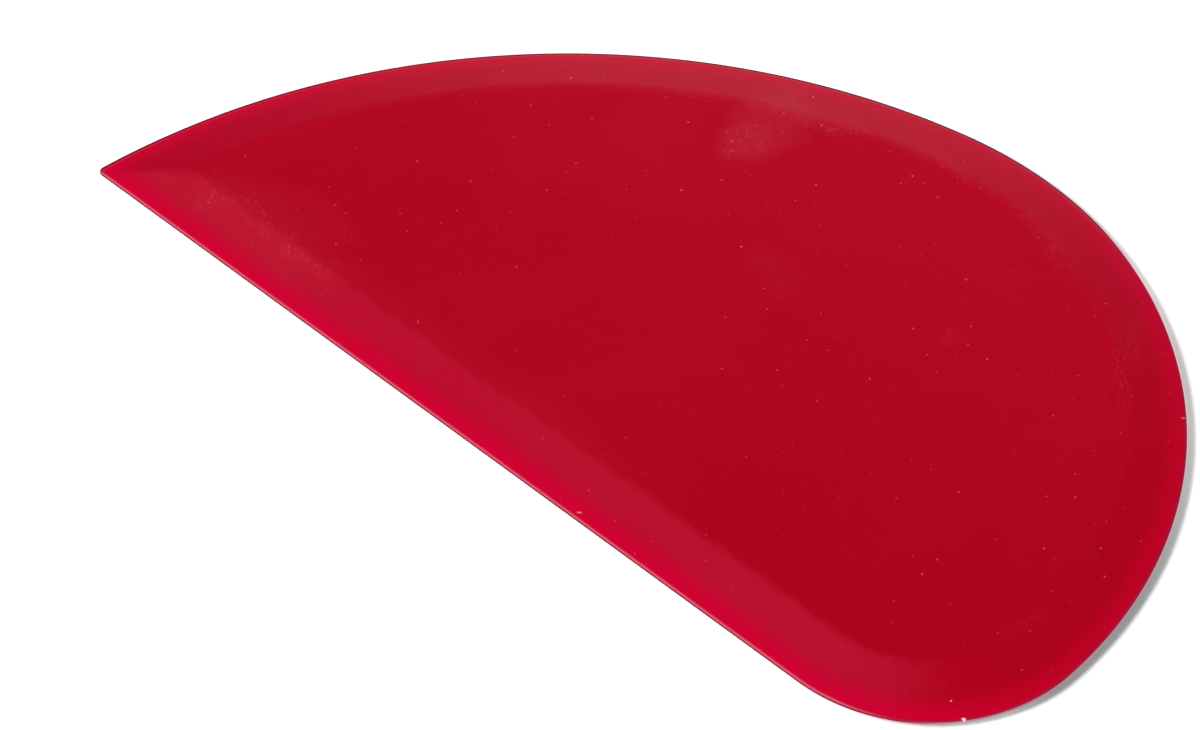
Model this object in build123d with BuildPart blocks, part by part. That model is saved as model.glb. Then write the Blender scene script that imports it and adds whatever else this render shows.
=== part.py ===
from build123d import *
from math import acos, asin, atan2, cos, degrees, radians, sin
import os

# Bowl scraper: a half-moon blade of silicone moulded round a thin flexible stiffening plate.
# The straight edge runs along X, from the sharp tip at -X to the round heel at +X, and the curved
# edge bulges to +Y. The blade lies flat, its lower face on Z = 0. Both faces are alike.

# Outline of the lip, mm
blade_length = 150.0  # along the straight edge, from the tip's sharp corner to the heel
back_radius = 97.6  # long arc that leaves the tip
crown_radius = 55.5  # arc over the widest part
end_radius = 65.4  # flatter arc down the heel end
end_sweep = 58.5  # degrees turned by that arc
heel_radius = 23.2  # quarter circle between the heel end and the straight edge
tip_radius = 1.0  # rounding of the tip's sharp corner

# Section, mm
blade_thickness = 3.0
lip_thickness = 0.4
bevel_width = 7.9  # from the lip's edge in to the ridge
ridge_rounding = 9.0  # radius that softens the ridge and the mitre at the tip
lip_easing = 0.12  # small bevel that takes the sharpness off the lip's two edges

# Stiffening plate, mm
core_thickness = 1.2
core_setback = 1.6  # from the ridge in to the plate's edge
core_tip_radius = 3.0
primer_film = 0.05  # bonding film between the plate and the silicone, on every side
key_radius = 2.5  # holes that the silicone fills
key_edge_distance = 7.0  # from the plate's edge to the centres of its ring of holes
key_pitch = 17.0  # along that ring
row_pitch = 18.0  # between the holes of the row through the plate's centre
row_count = 4

# Sizes worked out from those above
blade_width = heel_radius + (end_radius - crown_radius) * sin(radians(end_sweep)) + crown_radius
straight_y = -blade_width / 2
bevel_rise = (blade_thickness - lip_thickness) / 2
middle_z = blade_thickness / 2
core_inset = bevel_width + core_setback

# Centres of the outline's four arcs. Each arc meets the next at a tangent. The back arc also
# passes through the tip, so its centre is the third corner of a triangle on the tip and the crown.
heel_centre = Vector(blade_length / 2 - heel_radius, straight_y + heel_radius)
end_centre = Vector(blade_length / 2 - end_radius, heel_centre.Y)
crown_centre = end_centre + Vector(end_radius - crown_radius, 0).rotate(Axis.Z, end_sweep)
tip = Vector(-blade_length / 2, straight_y)
tip_to_crown = crown_centre - tip
crown_to_back = back_radius - crown_radius
tip_angle = acos(
    (tip_to_crown.length**2 + back_radius**2 - crown_to_back**2)
    / (2 * tip_to_crown.length * back_radius)
)
back_direction = atan2(tip_to_crown.Y, tip_to_crown.X) - tip_angle
back_centre = tip + Vector(cos(back_direction), sin(back_direction)) * back_radius
back_to_crown = crown_centre - back_centre
crown_end = degrees(atan2(back_to_crown.Y, back_to_crown.X))


def blade_outline(inset, corner_radius=0.0):
    """The blade's outline drawn in by inset: the same arc centres, each radius less the inset."""
    edge_y = straight_y + inset
    inner_back = back_radius - inset
    back_end = 180 - degrees(asin((edge_y - back_centre.Y) / inner_back))
    with BuildSketch() as outline:
        with BuildLine():
            heel = CenterArc(heel_centre, heel_radius - inset, -90, 90)
            CenterArc(end_centre, end_radius - inset, 0, end_sweep)
            CenterArc(crown_centre, crown_radius - inset, end_sweep, crown_end - end_sweep)
            back = CenterArc(back_centre, inner_back, crown_end, back_end - crown_end)
            Line(back @ 1, heel @ 0)
        make_face()
        if corner_radius:
            fillet(outline.vertices().sort_by(Axis.X)[0], corner_radius)
    return outline.sketch


def plate_shape(growth):
    """The stiffening plate's flat shape, its edge moved out and its holes drawn in by growth."""
    ring = blade_outline(core_inset + key_edge_distance).wire()
    ring_count = int(ring.length / key_pitch)
    with BuildSketch() as plate:
        add(blade_outline(core_inset - growth, core_tip_radius + growth))
        with Locations(*[ring @ (hole / ring_count) for hole in range(ring_count)]):
            Circle(key_radius - growth, mode=Mode.SUBTRACT)
        with Locations(blade_outline(core_inset).face().center()):
            with GridLocations(row_pitch, 0, row_count, 1):
                Circle(key_radius - growth, mode=Mode.SUBTRACT)
    return plate.sketch


os.makedirs("parts", exist_ok=True)

# Inset of the outline at each height, from the lower face up to the upper one
lower_sections = [(0, bevel_width), (bevel_rise, lip_easing), (bevel_rise + lip_easing, 0)]
upper_sections = [(blade_thickness - height, inset) for height, inset in reversed(lower_sections)]

# Stiffening plate: flat, pierced, sealed inside the silicone at mid thickness
with BuildPart() as core_plate:
    with BuildSketch(Plane.XY.offset(middle_z - core_thickness / 2)):
        add(plate_shape(0))
    extrude(amount=core_thickness)
core_plate.part.label = "core_plate"
export_step(core_plate.part, "parts/core_plate.step")

# Silicone body: one ruled loft from the lower ridge out to the lip, up its edge and back in to the
# upper ridge, then the ridges and the mitres softened, the tip rounded and the plate's pocket cut
with BuildPart() as silicone_skin:
    for height, inset in lower_sections + upper_sections:
        with BuildSketch(Plane.XY.offset(height)):
            add(blade_outline(inset))
    loft(ruled=True)
    levels = silicone_skin.edges().group_by(Axis.Z)
    sloping = silicone_skin.edges().filter_by(lambda edge: edge.bounding_box().size.Z > bevel_rise / 2)
    mitres = sloping.sort_by(Axis.X)[:2]
    fillet(levels[0] + levels[-1] + mitres, ridge_rounding)
    with BuildSketch(Plane.XY):
        add(blade_outline(0, tip_radius))
    extrude(amount=blade_thickness, mode=Mode.INTERSECT)
    with BuildSketch(Plane.XY.offset(middle_z - core_thickness / 2 - primer_film)):
        add(plate_shape(primer_film))
    extrude(amount=core_thickness + 2 * primer_film, mode=Mode.SUBTRACT)
silicone_skin.part.label = "silicone_skin"
export_step(silicone_skin.part, "parts/silicone_skin.step")
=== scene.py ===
import math

import bpy
import numpy as np
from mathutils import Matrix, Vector


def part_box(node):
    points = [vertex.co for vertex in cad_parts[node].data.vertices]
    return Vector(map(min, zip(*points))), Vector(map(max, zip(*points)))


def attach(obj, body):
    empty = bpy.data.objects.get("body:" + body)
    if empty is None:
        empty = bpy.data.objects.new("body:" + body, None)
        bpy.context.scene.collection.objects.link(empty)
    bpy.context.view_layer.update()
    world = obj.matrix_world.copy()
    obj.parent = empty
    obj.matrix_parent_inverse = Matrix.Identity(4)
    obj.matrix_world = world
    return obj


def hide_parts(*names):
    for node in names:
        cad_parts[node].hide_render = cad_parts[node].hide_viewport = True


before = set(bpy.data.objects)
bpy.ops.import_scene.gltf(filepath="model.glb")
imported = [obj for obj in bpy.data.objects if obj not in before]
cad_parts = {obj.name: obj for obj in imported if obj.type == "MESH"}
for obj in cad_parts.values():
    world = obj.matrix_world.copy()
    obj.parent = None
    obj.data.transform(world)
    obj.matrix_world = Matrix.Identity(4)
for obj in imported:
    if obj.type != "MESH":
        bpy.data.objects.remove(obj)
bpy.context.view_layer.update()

bl_info = {
    "name": "Bowl scraper",
    "version": (1, 0, 0),
    "blender": (4, 5, 0),
    "location": "View3D > Sidebar > Scraper",
    "description": "Dresses a half-moon silicone bowl scraper around its packed frame",
    "category": "Object",
}

# The object lies on Z = 0 with its straight edge along X, its tip at -X and its curved edge at +Y.
# Everything is in metres.
SKIN_LOW, SKIN_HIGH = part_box("silicone_skin")
MILLIMETRE = 0.001

# Points along each stretch of a ring, about one for each millimetre
TIP_POINTS = 24
BACK_POINTS = 130
CROWN_POINTS = 44
END_POINTS = 64
HEEL_POINTS = 48
STRAIGHT_POINTS = 126

# Rings of points across a face: on the bevel, and from there in to the centre. The length along the
# blade is measured on one near the ridge.
BEVEL_RINGS = 34
FLAT_RINGS = 18
RIDGE_RING = 22

# Points round a corner of the lip, and how far the bevel's rings reach past the ridge, in its blends
CORNER_POINTS = 6
RIDGE_REACH = 2

# Share of a ring's inset by which the tip's rounding grows, and how far the sink marks' waves lean
TIP_GROWTH = 0.6
SINK_LEANS = (0.3, 0.2)

# Width of the camera's sensor in millimetres
SENSOR_WIDTH = 36

# Sides of the blade by the way that the edge faces: the part of that direction which is read, where
# the side starts and where it would be full. Y is -1 along the straight edge and 1 at the crown, and X
# is 1 at the heel end.
SIDES = {
    "front": ("Y", -0.6, -0.97),
    "past_front": ("Y", -0.85, -0.67),
    "highlit": ("Y", -0.84, -0.97),
    "front_line": ("Y", -0.5, -0.9),
    "front_line_tint": ("Y", -0.4, -0.9),
    "low_line": ("Y", -0.2, -0.8),
    "low_side": ("Y", -0.3, -0.7),
    "low_light": ("Y", 0.25, -0.25),
    "high_light": ("Y", 0.15, 0.75),
    "high_side": ("Y", 0.5, 1.05),
    "back": ("Y", -0.1, 1.05),
    "scuffed": ("Y", -0.1, 0.3),
    "frosted": ("X", 0.45, 0.15),
    "back_to_heel": ("X", 0.0, 0.6),
    "heel": ("X", 0.35, 0.95),
    "heel_side": ("X", 0.15, 0.45),
    "heel_line": ("X", -0.4, 0.45),
    "heel_corner_line": ("X", 0.15, 0.5),
}

# Zones of the blade and the floor by place, in the same way, in metres
ZONES = {
    "lighter_towards_tip": ("X", 0.03, -0.01),
    "lighter_in_front": ("Y", -0.008, -0.035),
    "flat_film_and_sheen": ("X", 0.03, 0.0),
    "past_tip_film_and_sheen": ("X", -0.046, -0.03),
    "hazed": ("X", 0.05, -0.04),
    "scuffed": ("Y", 0.016, 0.024),
    "dusty": ("Y", -0.03, 0.02),
    "floor_back": ("Y", -0.008, 0.024),
    "floor_crown": ("Y", 0.031, 0.04),
    "floor_corner": ("Y", -0.022, -0.03),
    "floor_corner_end": ("Y", -0.039, -0.031),
}


def linear(red, green, blue):
    """A colour's three linear values from its 8-bit display values."""
    shares = np.array([red, green, blue]) / 255
    return tuple(np.where(shares <= 0.04045, shares / 12.92, ((shares + 0.055) / 1.055) ** 2.4))


def length_value(name, description, millimetres):
    """A length property whose default is given in millimetres."""
    return bpy.props.FloatProperty(
        name=name, description=description, default=millimetres * MILLIMETRE, unit="LENGTH", precision=5
    )


def angle_value(name, description, degrees):
    """An angle property whose default is given in degrees."""
    return bpy.props.FloatProperty(
        name=name, description=description, default=math.radians(degrees), subtype="ANGLE"
    )


def colour_value(name, description, red, green, blue):
    """A colour property whose default is given as 8-bit display values."""
    return bpy.props.FloatVectorProperty(
        name=name, description=description, default=linear(red, green, blue), subtype="COLOR", min=0, max=1
    )


def share_value(name, description, share):
    """A plain number from 0 to 1."""
    return bpy.props.FloatProperty(name=name, description=description, default=share, min=0, max=1)


def strength_value(name, description, strength):
    """A plain number with no upper limit."""
    return bpy.props.FloatProperty(name=name, description=description, default=strength, min=0)


class BladeSizes(bpy.types.PropertyGroup):
    """Sizes of the silicone blade: the CAD outline's arcs, and its section."""

    length: length_value("Length", "Straight edge, from the tip's sharp corner to the heel", 150)
    back_radius: length_value("Back radius", "Long arc that leaves the tip", 97.6)
    crown_radius: length_value("Crown radius", "Arc over the widest part", 55.5)
    end_radius: length_value("End radius", "Flatter arc down the heel end", 65.4)
    end_sweep: angle_value("End sweep", "Angle turned by the end arc", 58.5)
    heel_radius: length_value("Heel radius", "Quarter circle from the heel end to the straight edge", 23.2)
    tip_radius: length_value("Tip radius", "Rounding of the tip", 0.9)
    lip_thickness: length_value("Lip thickness", "Thickness of the edge all round", 0.4)
    lip_rounding: length_value("Lip rounding", "Radius on the lip's two corners", 0.15)
    bevel_width: length_value("Bevel width", "From the lip's edge in to the ridge", 7.9)
    ridge_blend: length_value("Ridge blend", "Width over which the bevel turns into the flat", 1.8)
    mitre_blend: length_value("Mitre blend", "Width over which the two bevels meet at the tip", 3)
    sink_depth: length_value("Sink depth", "How far the flat dips where the silicone has shrunk", 0.02)
    sink_span: length_value("Sink span", "Distance between those dips", 19)


class BladeFinish(bpy.types.PropertyGroup):
    """Colours and wear of the silicone, some of the colours with painted light, shade, sheen, highlight and
    glow.
    """

    # Painted shade and light: the flat's red is darker towards the straight edge and lighter, with a faint
    # painted sheen, towards the curved edge, as the light falls off towards the front.
    shaded_front_colour: colour_value("Front", "Thick silicone by the straight edge", 169, 1, 28)
    lit_back_colour: colour_value("Back", "Thick silicone by the curved edge", 184, 4, 33)
    slant: strength_value("Slant", "How far the change between those two leans along the blade", 0.12)
    # Painted light and shade: the bevel's red is set for each side that it faces, to match how that side is
    # lit, and the heel tint takes pink out where the bevel faces away from the key lamp.
    bevel_front_lit_colour: colour_value("Front bevel", "Bevel that faces the straight edge", 174, 3, 38)
    bevel_back_lit_colour: colour_value("Back bevel", "Bevel that faces away from it", 195, 3, 40)
    heel_shade_tint: colour_value("Heel tint", "Filter that takes pink out of the bevel at the heel", 255, 255, 203)
    bevel_start: length_value("Bevel tint start", "Where the bevel's colour starts to fade", 6.8)
    bevel_stop: length_value("Bevel tint stop", "Where it has faded into the flat's", 9.6)
    glow_colour: colour_value("Glow", "Light that shines through the thin lip", 225, 0, 58)
    heel_glow_colour: colour_value("Heel glow", "That light at the heel end", 225, 0, 50)
    glow_share: share_value("Glow share", "How much of it shows at the lip", 0.4)
    glow_start: length_value("Glow start", "Where the glow starts to fade", 0.5)
    glow_stop: length_value("Glow stop", "Where it has faded", 4.4)
    heel_glow_stop: length_value("Heel glow stop", "Where it has faded at the heel end", 4.0)
    line_colour: colour_value("Outline", "Dark line along the lip's edge", 80, 10, 30)
    front_line_colour: colour_value("Front outline", "That line along the straight edge", 122, 33, 55)
    heel_line_colour: colour_value("Heel outline", "That line where it faces the heel", 170, 22, 60)
    line_width: length_value("Outline width", "Width of that line", 0.28)
    front_line_width: length_value("Front outline width", "Width along the straight edge", 0.18)
    heel_line_width: length_value("Heel outline width", "Width where it faces the heel", 0.24)
    low_line_width: length_value("Low outline width", "Width between the heel and the straight edge", 0.13)
    high_line_width: length_value("High outline width", "Width between the heel and the crown", 0.33)
    line_hold: strength_value("Outline hold", "Where the line starts to fade, in widths", 0.8)
    line_fade: strength_value("Outline fade", "Where the line ends, in widths", 2.4)
    side_width: length_value("Side width", "How far the lip's pale side reaches round its corner", 0.13)
    low_side_width: length_value("Low side width", "The same, towards the straight edge", 0.05)
    high_side_width: length_value("High side width", "The same, between the heel and the crown", 0.38)
    # Painted highlight: the lip's upper corner along the straight edge is pale where it catches the key lamp.
    highlight_width: length_value("Corner width", "Where the trimmed corner starts", 0.095)
    corner_highlight_colour: colour_value("Highlit corner", "Frosted corner along the straight edge", 222, 84, 108)
    # Painted glow: the lip's side gives off light where it faces the heel, though it is no lamp.
    side_glow_colour: colour_value("Lip side", "Light in the lip's side where it faces the heel", 180, 128, 138)
    low_side_glow_colour: colour_value("Low lip side", "The same, towards the straight edge", 142, 122, 134)
    high_side_glow_colour: colour_value("High lip side", "The same, towards the crown", 252, 200, 208)
    frost_colour: colour_value("Frost", "Pale bloom just inside the line on the curved edge", 222, 110, 130)
    frost_share: share_value("Frost share", "How much of it shows", 0.24)
    # Film of handling and painted sheen: on the front bevel the film also stands in for the sheen of the
    # lamps there.
    film_and_sheen_colour: colour_value("Film", "Film of handling on the front bevel", 206, 70, 86)
    film_and_sheen_share: share_value("Film share", "How much of it shows by the ridge", 0.065)
    haze_share: share_value("Haze share", "How much of it clouds the flat on the tip's side", 0.014)
    chalk_colour: colour_value("Chalk", "Film where the surface is rubbed", 206, 74, 88)
    dust_colour: colour_value("Dust", "Specks and lint", 255, 124, 136)
    fleck_colour: colour_value("Fleck", "The few loose bits that stand out", 252, 214, 220)
    roughness: share_value("Roughness", "Roughness of the clean silicone", 0.36)
    gloss: share_value("Gloss", "Specular level of the silicone", 0.006)


class CoreFinish(bpy.types.PropertyGroup):
    """Colours of the stiffening plate."""

    plate_colour: colour_value("Plate", "Natural nylon", 221, 216, 202)
    shadow_colour: colour_value("Flow marks", "Darker streaks left by moulding", 198, 190, 172)


class StageSettings(bpy.types.PropertyGroup):
    """Camera, lamps and floor."""

    azimuth: angle_value("Azimuth", "Camera's turn about the object, 0 looking along +Y", 43.827)
    elevation: angle_value("Elevation", "Camera's height above the horizon", 46.883)
    distance: length_value("Distance", "Camera to its target", 542.808)
    target_x: length_value("Target X", "Point that the camera looks at", -2.399)
    target_y: length_value("Target Y", "Point that the camera looks at", -21.413)
    lens: strength_value("Lens", "Focal length in millimetres on a 36 mm sensor", 126)
    key_power: strength_value("Key power", "Watts of the lamp in front, on the tip's side", 47.6)
    key_azimuth: angle_value("Key azimuth", "Turn of that lamp about the object", -11)
    key_elevation: angle_value("Key elevation", "Height of that lamp above the horizon", 45.2)
    key_distance: length_value("Key distance", "That lamp to the object", 2000)
    key_size: length_value("Key size", "Side of that lamp", 600)
    card_power: strength_value("Card power", "Watts of the long card behind, seen only in gloss", 10.7)
    card_azimuth: angle_value("Card azimuth", "Turn of the card about the object", 214)
    card_elevation: angle_value("Card elevation", "Height of the card above the horizon", 10)
    card_distance: length_value("Card distance", "Card to the object", 1000)
    card_length: length_value("Card length", "Long side of the card", 587)
    card_height: length_value("Card height", "Short side of the card", 120)
    ambient: share_value("Ambient", "Brightness of the room round the object", 0.14)
    floor_lift: share_value("Floor lift", "Brightness added to the floor as it is seen", 0.24)
    # Painted light on the floor: the back, crown and heel lifts lighten the object's cast shadow there, and
    # the lift colours tint it.
    back_lift: share_value("Back lift", "Further brightness of the floor towards the back", 0.17)
    crown_lift: share_value("Crown lift", "Further brightness of the floor past the crown", 0.13)
    heel_lift: share_value("Heel lift", "Further brightness of the floor round the heel", 0.19)
    lift_colour: colour_value("Lift colour", "Tint of the floor's lift in front", 224, 255, 252)
    back_lift_colour: colour_value("Back lift colour", "Tint of that lift towards the back", 245, 250, 249)
    floor_colour: colour_value("Floor", "Pale floor", 244, 244, 244)
    floor_span: length_value("Floor span", "Side of the floor", 3000)


def arc_points(centre, radius, start, end, count):
    """Points on one arc for all rings at once: centre + radius (cos a, sin a), where a runs evenly
    from start to end and stops one step short of it. Each argument has one row per ring."""
    share = np.linspace(0, 1, count, endpoint=False)
    angle = start + (end - start) * share
    return np.stack([centre[0] + radius * np.cos(angle), centre[1] + radius * np.sin(angle)], axis=-1)


def outline_rings(sizes, inset, tip_radius):
    """The blade's outline drawn in by each inset, as an array of rings, points and X, Y.

    A ring is five arcs and a line, clockwise from above: the rounded tip, back, crown, end and heel,
    each on the outline's own centre with its radius less the inset, then the straight edge. The tip's
    circle touches the straight edge and the back arc from inside."""
    straight_y = SKIN_LOW.y
    heel = (SKIN_HIGH.x - sizes.heel_radius, straight_y + sizes.heel_radius)
    step = sizes.end_radius - sizes.crown_radius
    crown = (
        SKIN_HIGH.x - sizes.end_radius + step * math.cos(sizes.end_sweep),
        heel[1] + step * math.sin(sizes.end_sweep),
    )
    back = back_centre(sizes, crown)
    crown_start = math.atan2(crown[1] - back[1], crown[0] - back[0])
    tip_y = straight_y + inset + tip_radius
    to_tip = sizes.back_radius - inset - tip_radius
    tip_x = back[0] - np.sqrt(to_tip**2 - (tip_y - back[1]) ** 2)
    tip_end = np.arctan2(tip_y - back[1], tip_x - back[0])
    down = math.radians(270)
    end = (SKIN_HIGH.x - sizes.end_radius, heel[1])
    stretches = [
        arc_points((tip_x, tip_y), tip_radius, down, tip_end, TIP_POINTS),
        arc_points(back, sizes.back_radius - inset, tip_end, crown_start, BACK_POINTS),
        arc_points(crown, sizes.crown_radius - inset, crown_start, sizes.end_sweep, CROWN_POINTS),
        arc_points(end, sizes.end_radius - inset, sizes.end_sweep, 0, END_POINTS),
        arc_points(heel, sizes.heel_radius - inset, 0, down - 2 * math.pi, HEEL_POINTS),
    ]
    along = np.linspace(0, 1, STRAIGHT_POINTS, endpoint=False)
    line_x = heel[0] + (tip_x - heel[0]) * along
    line_y = np.broadcast_to(straight_y + inset, line_x.shape)
    stretches.append(np.stack([line_x, line_y], axis=-1))
    rings = np.concatenate(stretches, axis=1)
    return np.clip(rings, (SKIN_LOW.x, SKIN_LOW.y), (SKIN_HIGH.x, SKIN_HIGH.y)), back


def back_centre(sizes, crown):
    """Centre of the back arc: back_radius from the tip's sharp corner, and back_radius less
    crown_radius from the crown's centre, the third corner of that triangle."""
    tip = (SKIN_HIGH.x - sizes.length, SKIN_LOW.y)
    across = math.dist(tip, crown)
    far = sizes.back_radius - sizes.crown_radius
    corner = math.acos((across**2 + sizes.back_radius**2 - far**2) / (2 * across * sizes.back_radius))
    direction = math.atan2(crown[1] - tip[1], crown[0] - tip[0]) - corner
    return (
        tip[0] + sizes.back_radius * math.cos(direction),
        tip[1] + sizes.back_radius * math.sin(direction),
    )


def smooth_lesser(first, second, blend):
    """The lesser of two values, rounded off by a parabola where they differ by less than blend."""
    near = np.clip(1 - np.abs(first - second) / blend, 0, None)
    return np.minimum(first, second) - near**2 * blend / 4


def half_section(sizes):
    """Insets and heights of the lip's edge, from its middle up round its corner."""
    half_lip = sizes.lip_thickness / 2
    turn = np.linspace(0, math.pi / 2, CORNER_POINTS)
    inset = sizes.lip_rounding * (1 - np.cos(turn))
    height = half_lip - sizes.lip_rounding + sizes.lip_rounding * np.sin(turn)
    return np.concatenate([[0], inset]), np.concatenate([[0], height])


def blade_surface(sizes):
    """One face of the blade as rings of points from the lip's middle in to the centre.

    The plan of a ring is the outline drawn in, and past the ridge the last such ring shrunk towards
    the centre. A point's height is half the lip at the edge and rises evenly with its distance from
    the edge, up to half the blade's thickness, rounded off at the ridge. The distance is the lesser
    of those to the straight edge and to the back arc, rounded off where they are alike, which gives
    the mitre at the tip. The flat dips a little in a pattern of two crossed waves.
    Returns X, Y, height above the middle plane and distance from the edge, each rings by points."""
    half = (SKIN_HIGH.z - SKIN_LOW.z) / 2
    half_lip = sizes.lip_thickness / 2
    edge_inset, edge_height = half_section(sizes)
    reach = sizes.bevel_width + sizes.ridge_blend * RIDGE_REACH
    bevel_inset = np.linspace(sizes.lip_rounding, reach, BEVEL_RINGS)[1:]
    inset = np.concatenate([edge_inset, bevel_inset])[:, None]
    tip_radius = sizes.tip_radius + inset * TIP_GROWTH
    rings, back = outline_rings(sizes, inset, tip_radius)
    centre = rings[-1].mean(axis=0)
    shrink = np.linspace(1, 0, FLAT_RINGS)[1:, None, None]
    to_centre = np.hypot(*np.moveaxis(rings[-1] - centre, -1, 0))
    rings = np.concatenate([rings, centre + (rings[-1] - centre) * shrink])
    x, y = rings[..., 0], rings[..., 1]
    to_straight = y - SKIN_LOW.y
    to_back = sizes.back_radius - np.hypot(x - back[0], y - back[1])
    flat_inset = bevel_inset[-1] + to_centre * (1 - shrink[..., 0])
    nominal = np.concatenate([np.broadcast_to(inset, (len(inset), x.shape[1])), flat_inset])
    at_tip = np.zeros_like(x, dtype=bool)
    at_tip[:, :TIP_POINTS] = True
    distance = np.where(at_tip, np.minimum(to_straight, to_back), nominal)
    mitre = smooth_lesser(to_straight, to_back, sizes.mitre_blend) - np.minimum(to_straight, to_back)
    softened = distance + np.where(x < centre[0], mitre, 0)
    slope = (half - half_lip) / sizes.bevel_width
    rise = half_lip + slope * np.clip(softened, 0, None)
    height = smooth_lesser(rise, half, slope * sizes.ridge_blend / 2)
    height[: len(edge_height)] = edge_height[:, None]
    wave = 2 * math.pi / sizes.sink_span
    lean_x, lean_y = SINK_LEANS
    dip = (1 - np.sin(wave * (x + lean_x * y)) * np.cos(wave * (y - lean_y * x))) / 2
    fade = np.clip((height - half_lip) / (half - half_lip), 0, 1)
    return x, y, height - sizes.sink_depth * dip * fade, distance


def outward(x, y):
    """Each point's direction out of the blade in plan: the way that its ring runs, turned left."""
    run_x = np.roll(x, -1) - np.roll(x, 1)
    run_y = np.roll(y, -1) - np.roll(y, 1)
    return np.stack([-run_y, run_x, np.zeros_like(run_x)], axis=-1) / np.hypot(run_x, run_y)[:, None]


def along(x, y):
    """Each point's distance from the first one, measured along their ring."""
    return np.concatenate([[0], np.cumsum(np.hypot(np.diff(x), np.diff(y)))])


def blade_mesh(sizes):
    """The whole blade: one face's rings turned over for the lower face, joined at the lip's middle,
    with each centre closed by a fan."""
    x, y, height, distance = blade_surface(sizes)
    middle = (SKIN_LOW.z + SKIN_HIGH.z) / 2
    rings, points = x.shape
    order = np.concatenate([np.arange(rings - 2, 0, -1), np.arange(rings - 1)])
    side = np.concatenate([-np.ones(rings - 2), np.ones(rings - 1)])[:, None]
    grid = np.stack([x[order], y[order], middle + side * height[order]], axis=-1)
    poles = np.array([[x[-1, 0], y[-1, 0], middle + sign * height[-1, 0]] for sign in (-1, 1)])
    vertices = np.concatenate([grid.reshape(-1, 3), poles])
    at_poles = np.zeros(2)
    layers = len(order)
    attributes = {
        "edge_distance": np.concatenate([distance[order].ravel(), at_poles + distance[-1, 0]]),
        "edge_along": np.concatenate([np.tile(along(x[RIDGE_RING], y[RIDGE_RING]), layers), at_poles]),
    }
    facing = np.concatenate([np.tile(outward(x[0], y[0]), (layers, 1)), np.zeros((2, 3))])
    row = np.arange(layers - 1)[:, None] * points
    column = np.arange(points)
    following = (column + 1) % points
    above = row + points
    quads = np.stack([row + column, above + column, above + following, row + following], axis=-1)
    quads = quads.reshape(-1, 4)
    last = (layers - 1) * points
    low_pole = len(vertices) - 2
    low_fan = np.stack([column, following, np.full(points, low_pole)], axis=-1)
    high_fan = np.stack([last + following, last + column, np.full(points, low_pole + 1)], axis=-1)
    mesh = bpy.data.meshes.new("blade_skin")
    mesh.from_pydata(vertices.tolist(), [], quads.tolist() + low_fan.tolist() + high_fan.tolist())
    mesh.polygons.foreach_set("use_smooth", np.ones(len(mesh.polygons), dtype=bool))
    for name, values in attributes.items():
        mesh.attributes.new(name, "FLOAT", "POINT").data.foreach_set("value", values.astype(np.float32))
    directions = mesh.attributes.new("edge_facing", "FLOAT_VECTOR", "POINT")
    directions.data.foreach_set("vector", facing.ravel().astype(np.float32))
    mesh.validate()
    mesh.update()
    return mesh


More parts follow.
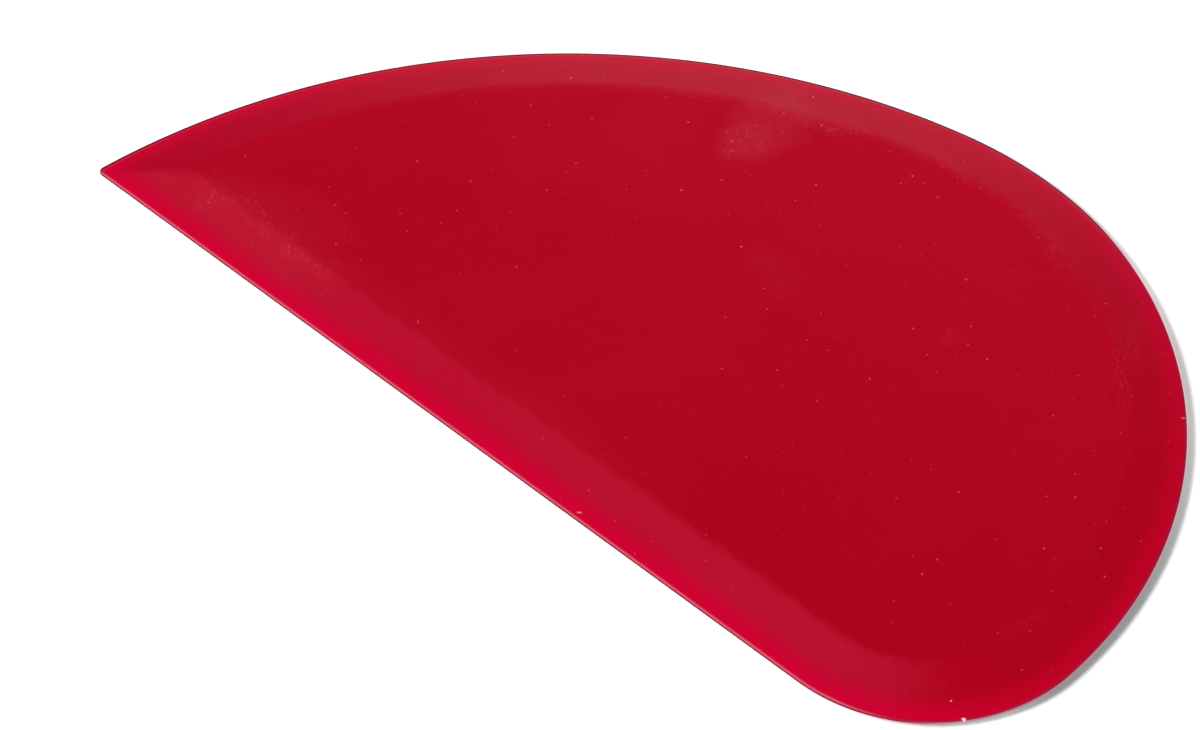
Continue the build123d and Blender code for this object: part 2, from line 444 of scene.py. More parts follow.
class Graph:
    """A node tree, with short ways to add nodes and join their sockets."""

    def __init__(self, tree):
        self.tree = tree

    def node(self, kind, **settings):
        """Adds a node and sets its properties."""
        made = self.tree.nodes.new(kind)
        for name, value in settings.items():
            setattr(made, name, value)
        return made

    def feed(self, socket, value):
        """Gives an input socket a plain value or joins it to an output."""
        if isinstance(value, bpy.types.NodeSocket):
            self.tree.links.new(value, socket)
        else:
            socket.default_value = value

    def math(self, operation, first, second=0.0, clamp=False):
        """One step of arithmetic."""
        made = self.node("ShaderNodeMath", operation=operation, use_clamp=clamp)
        self.feed(made.inputs[0], first)
        self.feed(made.inputs[1], second)
        return made.outputs[0]

    def chain(self, operation, values):
        """The same step of arithmetic over all the values, from the first one on."""
        result = values[0]
        for value in values[1:]:
            result = self.math(operation, result, value)
        return result

    def product(self, *values):
        """All values multiplied."""
        return self.chain("MULTIPLY", values)

    def total(self, *values):
        """All values added."""
        return self.chain("ADD", values)

    def rest(self, share):
        """What a share leaves of 1."""
        return self.math("SUBTRACT", 1.0, share)

    def most(self, *values):
        """The greatest of the values."""
        return self.chain("MAXIMUM", values)

    def step(self, value, start, stop, before=0.0, after=1.0):
        """A smooth step from before to after, as value goes from start to stop."""
        made = self.node("ShaderNodeMapRange", interpolation_type="SMOOTHSTEP")
        names = ("Value", "From Min", "From Max", "To Min", "To Max")
        for name, given in zip(names, (value, start, stop, before, after)):
            self.feed(made.inputs[name], given)
        return made.outputs["Result"]

    def over(self, parts, zone, before=0.0, after=1.0):
        """A smooth step over one of the sides or zones, read from the parts of a direction or place."""
        axis, start, stop = zone
        return self.step(parts[axis], start, stop, before, after)

    def mix(self, share, first, second, blend_type="MIX"):
        """A colour between two colours, or, with MULTIPLY, the first seen through the second."""
        made = self.node("ShaderNodeMix", data_type="RGBA", blend_type=blend_type)
        self.feed(made.inputs["Factor"], share)
        self.feed(made.inputs["A"], opaque(first))
        self.feed(made.inputs["B"], opaque(second))
        return made.outputs["Result"]

    def noise(self, vector, size, detail=2.0, roughness=0.5, distortion=0.0):
        """Noise from 0 to 1, with features of about the given size."""
        made = self.node("ShaderNodeTexNoise")
        given = {"Vector": vector, "Detail": detail, "Roughness": roughness, "Distortion": distortion}
        given["Scale"] = self.math("DIVIDE", 1.0, size)
        for name, value in given.items():
            self.feed(made.inputs[name], value)
        return made.outputs["Fac"]

    def drawn_out(self, vector, turn, stretch):
        """A place turned about Z and then drawn in along X, so that a pattern on it is stretched."""
        turned = self.node("ShaderNodeVectorRotate", rotation_type="Z_AXIS")
        self.feed(turned.inputs["Vector"], vector)
        self.feed(turned.inputs["Angle"], turn)
        parts = self.parts(turned.outputs[0])
        return self.joined(self.math("DIVIDE", parts["X"], stretch), parts["Y"])

    def parts(self, vector):
        """The X, Y and Z of a vector."""
        made = self.node("ShaderNodeSeparateXYZ")
        self.feed(made.inputs[0], vector)
        return made.outputs

    def joined(self, x, y, z=0.0):
        """A vector from its X, Y and Z."""
        made = self.node("ShaderNodeCombineXYZ")
        for socket, value in zip(made.inputs, (x, y, z)):
            self.feed(socket, value)
        return made.outputs[0]

    def attribute(self, name, output="Fac"):
        """A value stored on the surface."""
        return self.node("ShaderNodeAttribute", attribute_name=name).outputs[output]

    def place(self):
        """Where a point of the surface is, in the object's own metres."""
        return self.node("ShaderNodeTexCoord").outputs["Object"]

    def group(self, name, **inputs):
        """Places a shared node group and feeds its inputs. Returns its one output."""
        made = self.node("ShaderNodeGroup", node_tree=shared_group(name))
        for label, value in inputs.items():
            self.feed(made.inputs[label.replace("_", " ").capitalize()], value)
        return made.outputs[0]


def new_material(name):
    """A material with nodes. Returns it, its graph and its shader."""
    material = bpy.data.materials.new(name)
    material.use_nodes = True
    return material, Graph(material.node_tree), material.node_tree.nodes["Principled BSDF"]


def opaque(colour):
    """Adds an alpha of 1 to a plain colour, and leaves a socket alone."""
    return colour if isinstance(colour, bpy.types.NodeSocket) else (*colour, 1)


def new_group(name, *inputs):
    """An empty node group that takes a place, if it is the first input named, and plain numbers,
    and puts out one mask. Returns its graph, its inputs by name and its output."""
    tree = bpy.data.node_groups.new(name, "ShaderNodeTree")
    for label in inputs:
        kind = "NodeSocketVector" if label in ("Place", "Centre") else "NodeSocketFloat"
        tree.interface.new_socket(label, in_out="INPUT", socket_type=kind)
    tree.interface.new_socket("Mask", in_out="OUTPUT", socket_type="NodeSocketFloat")
    graph = Graph(tree)
    given = graph.node("NodeGroupInput").outputs
    leave = graph.node("NodeGroupOutput").inputs[0]
    return graph, given, leave


# Specks: their least and greatest size in radii, the part of the radius that is full, the power that
# makes strong ones rare, and the strength that this scales and is added to
SPECK_SIZES = (0.6, 1.3)
SPECK_CORE = 0.4
SPECK_RARITY = 5.0
SPECK_STRENGTH = 0.42
SPECK_LEAST = 0.04

# Clouds: the fine mottle's size in clouds and its share, and the noise that is drawn out to 0 and 1
MOTTLE_SIZE = 0.12
MOTTLE_SHARE = 0.25
CLOUD_RANGE = (0.34, 0.66)

# Chalk: its patches' size in grains, what is left between them, and the noise drawn out in each
PATCH_SIZE = 4.0
PATCH_LEAST = 0.15
PATCH_RANGE = (0.36, 0.6)
STREAK_RANGE = (0.44, 0.72)


def specks_group():
    """Specks or short fibres: one in some of the cells of a pattern on X and Y, each with its own
    size, and most of them faint."""
    graph, given, leave = new_group("specks", "Place", "Spacing", "Radius", "Share", "Turn", "Stretch")
    cells = graph.node("ShaderNodeTexVoronoi", voronoi_dimensions="2D", feature="F1")
    drawn = graph.drawn_out(given["Place"], given["Turn"], given["Stretch"])
    graph.feed(cells.inputs["Vector"], drawn)
    graph.feed(cells.inputs["Scale"], graph.math("DIVIDE", 1.0, given["Spacing"]))
    chance = graph.node("ShaderNodeSeparateColor")
    graph.feed(chance.inputs[0], cells.outputs["Color"])
    chosen = graph.math("LESS_THAN", chance.outputs[0], given["Share"])
    size = graph.step(chance.outputs[1], 0.0, 1.0, *SPECK_SIZES)
    radius = graph.product(graph.math("DIVIDE", given["Radius"], given["Spacing"]), size)
    core = graph.math("MULTIPLY", radius, SPECK_CORE)
    near = graph.step(cells.outputs["Distance"], core, radius, 1.0, 0.0)
    rare = graph.math("POWER", chance.outputs[2], SPECK_RARITY)
    strength = graph.math("MULTIPLY_ADD", rare, SPECK_STRENGTH)
    strength.node.inputs[2].default_value = SPECK_LEAST
    graph.feed(leave, graph.product(near, chosen, strength))
    return graph.tree


def oval_group():
    """A soft oval about a centre, turned about Z: 1 in its middle and 0 from its rim out."""
    graph, given, leave = new_group("soft_oval", "Place", "Centre", "Turn", "Half length", "Half width")
    offset = graph.node("ShaderNodeVectorMath", operation="SUBTRACT")
    graph.feed(offset.inputs[0], given["Place"])
    graph.feed(offset.inputs[1], given["Centre"])
    turned = graph.node("ShaderNodeVectorRotate", rotation_type="Z_AXIS")
    graph.feed(turned.inputs["Vector"], offset.outputs[0])
    graph.feed(turned.inputs["Angle"], graph.math("MULTIPLY", given["Turn"], -1.0))
    parts = graph.parts(turned.outputs[0])
    along = graph.math("DIVIDE", parts["X"], given["Half length"])
    across = graph.math("DIVIDE", parts["Y"], given["Half width"])
    squares = graph.math("ADD", graph.product(along, along), graph.product(across, across))
    graph.feed(leave, graph.step(squares, 0.0, 1.0, 1.0, 0.0))
    return graph.tree


def cloud_group():
    """Soft clouds with a fine mottle on them, from 0 to 1."""
    graph, given, leave = new_group("clouds", "Place", "Size")
    broad = graph.noise(given["Place"], given["Size"], detail=3.0, roughness=0.55, distortion=0.4)
    fine_size = graph.math("MULTIPLY", given["Size"], MOTTLE_SIZE)
    fine = graph.noise(given["Place"], fine_size, detail=3.0, roughness=0.6)
    both = graph.total(graph.product(broad, 1 - MOTTLE_SHARE), graph.product(fine, MOTTLE_SHARE))
    graph.feed(leave, graph.step(both, *CLOUD_RANGE))
    return graph.tree


def chalk_group():
    """Frosted grain: short streaks along the turn, bright in patches and missing between them."""
    graph, given, leave = new_group("chalk", "Place", "Size", "Turn", "Stretch")
    patch_size = graph.math("MULTIPLY", given["Size"], PATCH_SIZE)
    patches = graph.noise(given["Place"], patch_size, roughness=0.6)
    streaks = graph.drawn_out(given["Place"], given["Turn"], given["Stretch"])
    fine = graph.noise(streaks, given["Size"], roughness=0.6)
    shown = graph.step(patches, *PATCH_RANGE, PATCH_LEAST, 1.0)
    graph.feed(leave, graph.product(shown, graph.step(fine, *STREAK_RANGE)))
    return graph.tree


GROUP_MAKERS = {
    "specks": specks_group,
    "soft_oval": oval_group,
    "clouds": cloud_group,
    "chalk": chalk_group,
}


def shared_group(name):
    """A node group by name, made when it is first asked for."""
    return bpy.data.node_groups.get(name) or GROUP_MAKERS[name]()


# Places where the blade is rubbed: X and Y of the middle, half length and half width in
# millimetres, turn in degrees, and the shares of smooth film and of frosted grain
RUBBED_PLACES = (
    (-50.0, -35.8, 17.0, 2.3, 0, 0.02, 0.17),
    (-58.5, -37.6, 3.0, 1.8, 30, 0.015, 0.14),
    (-49.0, -31.0, 13.0, 4.2, 8, 0.026, 0.04),
    (-14.9, 24.8, 11.0, 6.8, -80, 0.12, 0.05),
    (-15.4, 19.6, 5.4, 4.0, 44, 0.035, 0.24),
    (-10.4, 30.7, 8.6, 2.2, 22, 0.06, 0.3),
    (6.4, 35.3, 8.0, 1.6, 2, 0.02, 0.28),
    (5.0, 4.6, 7.0, 4.0, -25, 0.018, 0.05),
    (28.0, 11.6, 2.6, 2.0, 60, 0.025, 0.1),
    (27.0, 33.4, 8.0, 2.2, -20, 0.02, 0.1),
    (46.0, 27.6, 8.0, 2.4, -45, 0.02, 0.09),
    (66.5, -18.5, 6.0, 1.8, 78, 0.01, 0.04),
)

# Loose bits that stand out: X and Y of the middle, half length and half width in millimetres, turn
# in degrees and how much of each shows
FLECKS = (
    (70.1, -34.3, 0.34, 0.26, 30, 1.0),
    (67.4, -33.5, 0.16, 0.16, 0, 0.5),
    (58.7, 22.1, 0.4, 0.13, 44, 0.4),
    (14.4, -42.6, 0.45, 0.16, 30, 0.3),
)


# Size of the noise that bends the rims of the rubbed places, how far it bends them, and its middle
RUB_BEND_SIZE = 0.006
RUB_BEND = 0.006
NOISE_MIDDLE = 0.5


def oval(graph, place, x, y, half_length, half_width, turn):
    """A soft oval on the blade, from a row's millimetres and degrees."""
    return graph.group(
        "soft_oval",
        place=place,
        centre=(x * MILLIMETRE, y * MILLIMETRE, SKIN_HIGH.z),
        turn=math.radians(turn),
        half_length=half_length * MILLIMETRE,
        half_width=half_width * MILLIMETRE,
    )


def flecks(graph, place):
    """How much of a fleck lies at a place."""
    return graph.most(*(graph.product(oval(graph, place, *form), share) for *form, share in FLECKS))


def rubbed_shares(graph, place):
    """How much film and how much grain lie at a place: each rubbed place is a soft oval with its rim
    bent by noise."""
    bend = graph.node("ShaderNodeTexNoise")
    graph.feed(bend.inputs["Vector"], place)
    bend.inputs["Scale"].default_value = 1 / RUB_BEND_SIZE
    centred = graph.node("ShaderNodeVectorMath", operation="SUBTRACT")
    graph.feed(centred.inputs[0], bend.outputs["Color"])
    centred.inputs[1].default_value = (NOISE_MIDDLE, NOISE_MIDDLE, NOISE_MIDDLE)
    scaled = graph.node("ShaderNodeVectorMath", operation="SCALE")
    graph.feed(scaled.inputs[0], centred.outputs[0])
    scaled.inputs["Scale"].default_value = RUB_BEND
    bent = graph.node("ShaderNodeVectorMath", operation="ADD")
    graph.feed(bent.inputs[0], place)
    graph.feed(bent.inputs[1], scaled.outputs[0])
    films = []
    grains = []
    for *form, film, grain in RUBBED_PLACES:
        rubbed = oval(graph, bent.outputs[0], *form)
        films.append(graph.product(rubbed, film))
        grains.append(graph.product(rubbed, grain))
    return graph.total(*films), graph.total(*grains)


# Flat: size of its clouds, where the back's colour takes over from the front's (painted shade in front,
# painted light and sheen at the back), and the shares of that change, of the clouds and of the lighter corner
# in front towards the tip in the mix
CLOUD_SIZE = 0.03
PAINTED_FALLOFF_RANGE = (-0.047, 0.035)
PAINTED_FALLOFF_SHARE = 0.8
CLOUD_SHARE = 0.2
LIGHTER_CORNER_SHARE = 0.22

# How much of the back bevel's colour is left where it turns to the heel
BACK_AT_HEEL = 0.7

# Film of handling and painted sheen on the front bevel: how the ridge's line wanders, the film's rim from the
# ridge and what thins it out past that, where it grows from the lip in, and how it varies with the clouds and
# at the tip
WANDER_SIZE = 0.003
WANDER = 0.003
FILM_AND_SHEEN_RIM = (-0.0004, 0.001)
FLAT_FILM_AND_SHEEN_REACH = 0.006
FLAT_FILM_AND_SHEEN_SHARE = 0.42
FILM_AND_SHEEN_RANGE = (0.0006, 0.0048)
FILM_AND_SHEEN_CLOUDS = (0.8, 1.2)
TIP_FILM_AND_SHEEN = 1.75

# Scuffs: how far they are drawn out along the ridge, size of one and of a patch of them, the noise
# drawn out in each, their two rims from the ridge, what is left in front, and their share
SCUFF_STRETCH = 4.0
SCUFF_SIZE = 0.0004
SCUFF_RANGE = (0.5, 0.75)
SCUFF_PATCH_SIZE = 0.006
SCUFF_PATCHES = (0.42, 0.62)
SCUFF_OUTER = (-0.0012, -0.0003)
SCUFF_INNER = (0.0006, 0.0016)
SCUFF_LEAST = 0.35
SCUFF_SHARE = 0.28

# Frosted grain, and the loose bits, whose share is of the cells that hold one
GRAIN = {"size": 0.00045, "turn": 0.77, "stretch": 2.0}
DUST = {"spacing": 0.0026, "radius": 0.00015, "share": 0.36, "stretch": 1.0}
GRIT = {"spacing": 0.0009, "radius": 0.00014, "share": 0.4, "stretch": 1.4}
LINT = {"spacing": 0.0035, "radius": 0.00011, "share": 0.03, "turn": 0.6, "stretch": 6.0}
DUST_RANGE = (0.75, 1.5)
GRIT_GAIN = 4.0

# Lip: the parts of the widths of its side's painted glow and its corner's painted highlight that are full,
# where the frost fades, and half the height over which the upper face starts
SIDE_CORE = 0.2
HIGHLIGHT_CORE = 0.5
FROST_RANGE = (0.0002, 0.00095)
MIDDLE_BLUR = 0.00003

# Rubbed silicone is full at this share and has this roughness. All of it has this fine texture.
RUBBED_FULL = 0.2
RUBBED_ROUGHNESS = 0.8
TEXTURE_SIZE = 0.0006
TEXTURE_DEPTH = 0.00002
TEXTURE_STRENGTH = 0.15


class BladeSurface:
    """What the silicone's colour is worked out from at a point of the blade."""

    def __init__(self, graph):
        self.graph = graph
        self.place = graph.place()
        self.parts = graph.parts(self.place)
        self.distance = graph.attribute("edge_distance")
        self.facing = graph.parts(graph.attribute("edge_facing", "Vector"))
        self.clouds = graph.group("clouds", place=self.place, size=CLOUD_SIZE)
        self.to_heel = self.side("heel")
        self.past_front = self.side("past_front")
        self.heel_side = graph.product(self.side("heel_side"), self.past_front)
        self.high_side = graph.product(self.heel_side, self.side("high_side"))

    def side(self, name, before=0.0, after=1.0):
        """A step over one of the sides."""
        return self.graph.over(self.facing, SIDES[name], before, after)

    def zone(self, name, before=0.0, after=1.0):
        """A step over one of the zones."""
        return self.graph.over(self.parts, ZONES[name], before, after)


def body_colour(graph, surface, finish):
    """Deep red on the flat, with painted shade darker towards the straight edge and painted light lighter
    towards the curved edge; on the bevel a red set for each side it faces with painted light and shade, which
    a painted glow brightens to the thin lip.
    """
    parts = surface.parts
    to_heel = surface.to_heel
    # Painted shade and light from front to back, random clouds, and a lighter corner in front towards the tip
    leaning = graph.math("SUBTRACT", parts["Y"], graph.product(parts["X"], finish.slant))
    lighter_corner = graph.product(surface.zone("lighter_towards_tip"), surface.zone("lighter_in_front"))
    falloff_and_tone = graph.total(
        graph.product(graph.step(leaning, *PAINTED_FALLOFF_RANGE), PAINTED_FALLOFF_SHARE),
        graph.product(surface.clouds, CLOUD_SHARE),
        graph.product(lighter_corner, LIGHTER_CORNER_SHARE),
    )
    flat = graph.mix(falloff_and_tone, finish.shaded_front_colour, finish.lit_back_colour)
    # Painted light and shade: the bevel's red changes with the side that it faces, with less pink at the
    # heel, which faces away from the key lamp
    to_back = graph.product(surface.side("back"), surface.side("back_to_heel", 1.0, BACK_AT_HEEL))
    bevel = graph.mix(to_back, finish.bevel_front_lit_colour, finish.bevel_back_lit_colour)
    bevel = graph.mix(to_heel, bevel, finish.heel_shade_tint, blend_type="MULTIPLY")
    # Painted glow: the bevel's red brightens to the thin lip, as if light shone through it
    glow_stop = graph.step(to_heel, 0.0, 1.0, finish.glow_stop, finish.heel_glow_stop)
    glow = graph.step(surface.distance, finish.glow_start, glow_stop, finish.glow_share, 0.0)
    glow_colour = graph.mix(to_heel, finish.glow_colour, finish.heel_glow_colour)
    bevel = graph.mix(glow, bevel, glow_colour)
    return graph.mix(graph.step(surface.distance, finish.bevel_start, finish.bevel_stop), bevel, flat)


def from_ridge(ridge, band):
    """A band given from the ridge, as distances from the edge."""
    return [ridge + offset for offset in band]


def scuffs(graph, surface, wavy, ridge):
    """How much of a scuff lies at a place: streaks along the ridge, in patches, between two rims."""
    run = graph.joined(graph.math("DIVIDE", graph.attribute("edge_along"), SCUFF_STRETCH), surface.distance)
    streaks = graph.noise(run, SCUFF_SIZE, detail=3.0, roughness=0.7)
    patches = graph.noise(surface.place, SCUFF_PATCH_SIZE, detail=1.0)
    return graph.product(
        graph.step(streaks, *SCUFF_RANGE),
        graph.step(patches, *SCUFF_PATCHES),
        graph.step(wavy, *from_ridge(ridge, SCUFF_OUTER)),
        graph.step(wavy, *from_ridge(ridge, SCUFF_INNER), 1.0, 0.0),
        surface.side("scuffed"),
        surface.zone("scuffed", SCUFF_LEAST, 1.0),
        SCUFF_SHARE,
    )


def worn_colour(graph, surface, ridge, finish, colour):
    """A colour under the film of handling with painted sheen on the front bevel, haze, frosted grain, scuffs
    and loose bits. Returns it and how much of the place is rubbed."""
    place = surface.place
    wander = graph.noise(place, WANDER_SIZE, detail=3.0, roughness=0.6)
    wander = graph.product(graph.math("SUBTRACT", wander, NOISE_MIDDLE), WANDER)
    wavy = graph.total(surface.distance, wander)
    on_bevel = graph.step(wavy, *from_ridge(ridge, FILM_AND_SHEEN_RIM), 1.0, 0.0)
    on_flat = graph.product(
        graph.step(surface.distance, ridge, ridge + FLAT_FILM_AND_SHEEN_REACH, FLAT_FILM_AND_SHEEN_SHARE, 0.0),
        surface.zone("flat_film_and_sheen"),
    )
    # Front bevel: film of handling and painted sheen
    film = graph.product(
        graph.step(surface.distance, *FILM_AND_SHEEN_RANGE),
        graph.most(on_bevel, on_flat),
        surface.side("front"),
        graph.step(surface.clouds, 0.0, 1.0, *FILM_AND_SHEEN_CLOUDS),
        surface.zone("past_tip_film_and_sheen", TIP_FILM_AND_SHEEN, 1.0),
        finish.film_and_sheen_share,
    )
    haze = graph.product(surface.zone("hazed"), surface.clouds, graph.rest(on_bevel), finish.haze_share)
    films, grains = rubbed_shares(graph, place)
    colour = graph.mix(graph.total(film, films, haze), colour, finish.film_and_sheen_colour)
    grain = graph.product(grains, graph.group("chalk", place=place, **GRAIN))
    rubbed = graph.most(grain, scuffs(graph, surface, wavy, ridge))
    colour = graph.mix(rubbed, colour, finish.chalk_colour)
    dust = graph.group("specks", place=place, **DUST)
    dust = graph.product(dust, surface.zone("dusty", *DUST_RANGE))
    on_grain = graph.math("MULTIPLY", grains, GRIT_GAIN, clamp=True)
    grit = graph.product(graph.group("specks", place=place, **GRIT), on_grain)
    lint = graph.group("specks", place=place, **LINT)
    return graph.mix(graph.most(dust, grit, lint), colour, finish.dust_colour), rubbed


def lip_colour(graph, surface, finish, colour):
    """A colour with the lip's edge on it: the frost inside the line, the dark line and a painted highlight on
    the corner of the upper face along the straight edge."""
    heel_line = graph.most(
        graph.product(surface.side("heel_line"), surface.past_front),
        surface.side("heel_corner_line"),
    )
    width = surface.side("front_line", finish.line_width, finish.front_line_width)
    heel_width = surface.side("low_line", finish.heel_line_width, finish.low_line_width)
    width = graph.step(heel_line, 0.0, 1.0, width, heel_width)
    width = graph.step(surface.high_side, 0.0, 1.0, width, finish.high_line_width)
    line_start = graph.math("MULTIPLY", width, finish.line_hold)
    line_end = graph.math("MULTIPLY", width, finish.line_fade)
    on_line = graph.step(surface.distance, line_start, line_end, 1.0, 0.0)
    to_front = surface.side("front_line_tint")
    line = graph.mix(to_front, finish.line_colour, finish.front_line_colour)
    line = graph.mix(heel_line, line, finish.heel_line_colour)
    frost = graph.product(
        graph.step(surface.distance, *FROST_RANGE, finish.frost_share, 0.0),
        surface.side("frosted"),
        surface.past_front,
    )
    colour = graph.mix(frost, colour, finish.frost_colour)
    colour = graph.mix(on_line, colour, line)
    middle = (SKIN_LOW.z + SKIN_HIGH.z) / 2
    upper = graph.step(surface.parts["Z"], middle - MIDDLE_BLUR, middle + MIDDLE_BLUR)
    # Painted highlight on the lip's upper corner along the straight edge
    corner = graph.step(surface.distance, finish.highlight_width * HIGHLIGHT_CORE, finish.highlight_width)
    highlit = graph.product(corner, on_line, upper, surface.side("highlit"))
    return graph.mix(highlit, colour, finish.corner_highlight_colour)


def lip_light(graph, surface, finish):
    """Painted glow: emitted light in the lip's side where it faces the heel, and black everywhere else."""
    width = surface.side("low_side", finish.side_width, finish.low_side_width)
    width = graph.step(surface.high_side, 0.0, 1.0, width, finish.high_side_width)
    on_side = graph.step(surface.distance, graph.math("MULTIPLY", width, SIDE_CORE), width, 1.0, 0.0)
    light = graph.mix(surface.side("low_light"), finish.side_glow_colour, finish.low_side_glow_colour)
    light = graph.mix(surface.side("high_light"), light, finish.high_side_glow_colour)
    return graph.mix(graph.product(on_side, surface.heel_side), (0, 0, 0), light)


def silicone_material(sizes, finish):
    """Red silicone: deep where it is thick, brighter to the thin lip, rubbed and dusty, with painted light,
    shade, sheen, highlight and glow in its colour.
    """
    material, graph, shader = new_material("red_silicone")
    shader.inputs["Specular IOR Level"].default_value = finish.gloss
    shader.inputs["Emission Strength"].default_value = 1
    surface = BladeSurface(graph)
    colour = body_colour(graph, surface, finish)
    colour, rubbed = worn_colour(graph, surface, sizes.bevel_width, finish, colour)
    colour = lip_colour(graph, surface, finish, colour)
    colour = graph.mix(flecks(graph, surface.place), colour, finish.fleck_colour)
    graph.feed(shader.inputs["Base Color"], colour)
    # Painted glow in the lip's side
    graph.feed(shader.inputs["Emission Color"], lip_light(graph, surface, finish))
    roughness = graph.step(rubbed, 0.0, RUBBED_FULL, finish.roughness, RUBBED_ROUGHNESS)
    graph.feed(shader.inputs["Roughness"], roughness)
    bump = graph.node("ShaderNodeBump")
    bump.inputs["Strength"].default_value = TEXTURE_STRENGTH
    bump.inputs["Distance"].default_value = TEXTURE_DEPTH
    texture = graph.noise(surface.place, TEXTURE_SIZE, detail=3.0, roughness=0.6)
    graph.feed(bump.inputs["Height"], texture)
    graph.feed(shader.inputs["Normal"], bump.outputs[0])
    return material


# Nylon: turn, stretch and size of its flow marks, its specular level and its range of roughness
FLOW_TURN = 0.2
FLOW_STRETCH = 4.0
FLOW_SIZE = 0.012
NYLON_GLOSS = 0.3
NYLON_ROUGHNESS = (0.5, 0.65)


def core_material(finish):
    """Moulded nylon of the stiffening plate, with faint flow marks."""
    material, graph, shader = new_material("core_nylon")
    shader.inputs["Specular IOR Level"].default_value = NYLON_GLOSS
    drawn = graph.drawn_out(graph.place(), FLOW_TURN, FLOW_STRETCH)
    flow = graph.group("clouds", place=drawn, size=FLOW_SIZE)
    graph.feed(shader.inputs["Base Color"], graph.mix(flow, finish.plate_colour, finish.shadow_colour))
    graph.feed(shader.inputs["Roughness"], graph.step(flow, 0.0, 1.0, *NYLON_ROUGHNESS))
    return material


def shown_rays(graph):
    """1 for rays that show a background: from the camera, and in gloss and glass."""
    path = graph.node("ShaderNodeLightPath").outputs
    return graph.most(path["Is Camera Ray"], path["Is Glossy Ray"], path["Is Transmission Ray"])


def floor_material(stage):
    """Pale matte floor that keeps the shadow, lifted to white where it is lit and seen, with painted light
    that lightens the shadow towards the back, past the crown and round the heel's corner, tinted by the lift
    colours.
    """
    material, graph, shader = new_material("floor")
    nodes = material.node_tree.nodes
    nodes.remove(shader)
    matte = graph.node("ShaderNodeBsdfDiffuse")
    graph.feed(matte.inputs["Color"], opaque(stage.floor_colour))
    parts = graph.parts(graph.place())
    # Painted light: lifts that lighten the cast shadow in these zones
    towards_back = graph.over(parts, ZONES["floor_back"])
    past_crown = graph.over(parts, ZONES["floor_crown"], 0.0, stage.crown_lift)
    at_corner = graph.product(
        graph.over(parts, ZONES["floor_corner"]),
        graph.over(parts, ZONES["floor_corner_end"]),
        stage.heel_lift,
    )
    at_back = graph.product(towards_back, stage.back_lift)
    lift = graph.node("ShaderNodeEmission")
    graph.feed(lift.inputs["Color"], graph.mix(towards_back, stage.lift_colour, stage.back_lift_colour))
    brightness = graph.total(stage.floor_lift, at_back, past_crown, at_corner)
    graph.feed(lift.inputs["Strength"], graph.product(shown_rays(graph), brightness))
    both = graph.node("ShaderNodeAddShader")
    graph.feed(both.inputs[0], matte.outputs[0])
    graph.feed(both.inputs[1], lift.outputs[0])
    graph.feed(nodes["Material Output"].inputs["Surface"], both.outputs[0])
    return material


def room(stage):
    """World that lights the object softly from all round and shows as white."""
    world = bpy.data.worlds.new("room")
    world.use_nodes = True
    graph = Graph(world.node_tree)
    background = world.node_tree.nodes["Background"]
    background.inputs["Color"].default_value = (1, 1, 1, 1)
    strength = graph.most(shown_rays(graph), stage.ambient)
    graph.feed(background.inputs["Strength"], strength)
    return world


def direction(azimuth, elevation):
    """Unit vector towards something at that turn about the object and height above the horizon."""
    level = math.cos(elevation)
    return Vector((math.sin(azimuth) * level, -math.cos(azimuth) * level, math.sin(elevation)))


def area_lamp(name, place, length, height, power):
    """A soft rectangular lamp at a place, turned to the object."""
    light = bpy.data.lights.new(name, "AREA")
    light.shape = "RECTANGLE"
    light.size = length
    light.size_y = height
    light.energy = power
    lamp = bpy.data.objects.new(name, light)
    lamp.location = place
    lamp.rotation_euler = (-place).to_track_quat("-Z", "Y").to_euler()
    bpy.context.scene.collection.objects.link(lamp)
    return lamp


class SCRAPER_OT_blade_skin(bpy.types.Operator):
    """Make the silicone blade as one fine surface in place of its CAD solid"""

    bl_idname = "scraper.blade_skin"
    bl_label = "Silicone blade"

    def execute(self, context):
        scene = context.scene
        blade = bpy.data.objects.new("blade_skin", blade_mesh(scene.scraper_sizes))
        blade.data.materials.append(silicone_material(scene.scraper_sizes, scene.scraper_finish))
        scene.collection.objects.link(blade)
        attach(blade, "root")
        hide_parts("silicone_skin")
        return {"FINISHED"}


class SCRAPER_OT_core_plate(bpy.types.Operator):
    """Give the stiffening plate inside the blade its nylon"""

    bl_idname = "scraper.core_plate"
    bl_label = "Stiffening plate"

    def execute(self, context):
        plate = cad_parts["core_plate"]
        plate.data.materials.clear()
        plate.data.materials.append(core_material(context.scene.scraper_core))
        return {"FINISHED"}


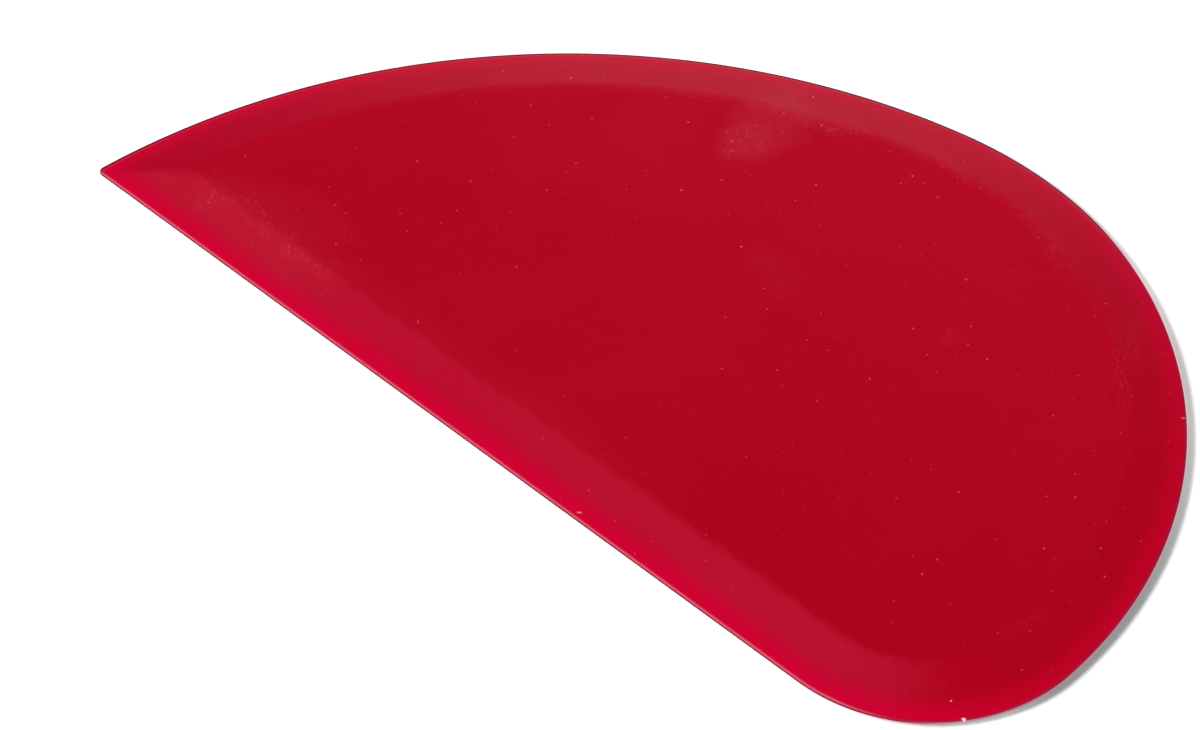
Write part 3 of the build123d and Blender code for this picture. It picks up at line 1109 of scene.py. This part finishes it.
class SCRAPER_OT_stage(bpy.types.Operator):
    """Set the floor, the lamps, the room and the camera"""

    bl_idname = "scraper.stage"
    bl_label = "Stage"

    def execute(self, context):
        scene = context.scene
        stage = scene.scraper_stage
        half = stage.floor_span / 2
        mesh = bpy.data.meshes.new("floor")
        corners = [(-half, -half, 0), (half, -half, 0), (half, half, 0), (-half, half, 0)]
        mesh.from_pydata(corners, [], [(0, 1, 2, 3)])
        mesh.materials.append(floor_material(stage))
        floor = bpy.data.objects.new("floor", mesh)
        scene.collection.objects.link(floor)

        key_place = direction(stage.key_azimuth, stage.key_elevation) * stage.key_distance
        area_lamp("key_lamp", key_place, stage.key_size, stage.key_size, stage.key_power)
        card_place = direction(stage.card_azimuth, stage.card_elevation) * stage.card_distance
        card = area_lamp("gloss_card", card_place, stage.card_length, stage.card_height, stage.card_power)
        card.visible_diffuse = False
        scene.world = room(stage)

        camera = bpy.data.cameras.new("camera")
        camera.sensor_width = SENSOR_WIDTH
        camera.lens = stage.lens
        eye = bpy.data.objects.new("camera", camera)
        back = direction(stage.azimuth, stage.elevation)
        eye.location = Vector((stage.target_x, stage.target_y, 0)) + back * stage.distance
        eye.rotation_euler = (-back).to_track_quat("-Z", "Y").to_euler()
        scene.collection.objects.link(eye)
        scene.camera = eye
        scene.view_settings.view_transform = "Standard"
        return {"FINISHED"}


OPERATORS = (SCRAPER_OT_blade_skin, SCRAPER_OT_core_plate, SCRAPER_OT_stage)
SETTINGS = {
    "scraper_sizes": BladeSizes,
    "scraper_finish": BladeFinish,
    "scraper_core": CoreFinish,
    "scraper_stage": StageSettings,
}


class SCRAPER_PT_panel(bpy.types.Panel):
    """Lists the operators in the 3D view's sidebar"""

    bl_label = "Bowl scraper"
    bl_idname = "SCRAPER_PT_panel"
    bl_space_type = "VIEW_3D"
    bl_region_type = "UI"
    bl_category = "Scraper"

    def draw(self, context):
        for operator in OPERATORS:
            self.layout.operator(operator.bl_idname)


def register():
    """Adds the settings, the operators and the panel."""
    for made in (*SETTINGS.values(), *OPERATORS, SCRAPER_PT_panel):
        bpy.utils.register_class(made)
    for name, settings in SETTINGS.items():
        setattr(bpy.types.Scene, name, bpy.props.PointerProperty(type=settings))


def unregister():
    """Takes them away again."""
    for name in SETTINGS:
        delattr(bpy.types.Scene, name)
    for made in (SCRAPER_PT_panel, *reversed(OPERATORS), *reversed(SETTINGS.values())):
        bpy.utils.unregister_class(made)


def main():
    """Makes every piece."""
    register()
    bpy.ops.scraper.blade_skin()
    bpy.ops.scraper.core_plate()
    bpy.ops.scraper.stage()


if __name__ == "__main__":
    main()
